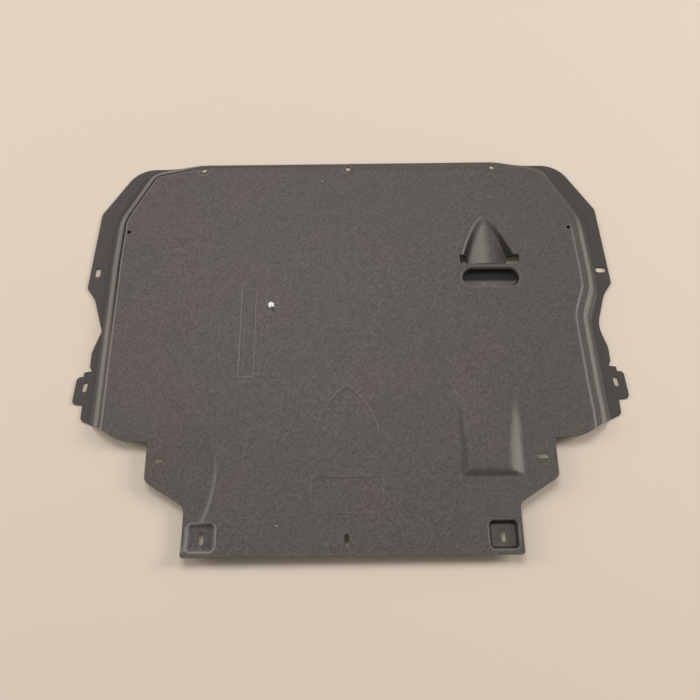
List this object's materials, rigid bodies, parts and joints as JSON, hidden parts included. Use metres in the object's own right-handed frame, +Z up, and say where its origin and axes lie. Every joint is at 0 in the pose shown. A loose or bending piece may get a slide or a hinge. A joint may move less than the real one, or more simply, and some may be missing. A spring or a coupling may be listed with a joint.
{
  "type": "engine splash shield",
  "caption": "Wide moulded plastic under-engine panel with stepped side flanges, an air scoop with its window, sunken rear pads and slotted fixing holes.",
  "frame": {"origin": "floor under the middle of the outline, at the height of the flanges' under face", "axes": "+X across the car to the scoop's side, +Y to the front edge, +Z up out of the road face as it lies in the picture"},
  "size_m": [0.9046, 0.71, 0.0263],
  "materials": {
    "shield_plastic": "matte, fine mottled moulded grain"
  },
  "bodies": {
    "root": {"splash_shield": "shield_plastic"}
  },
  "joints": []
}
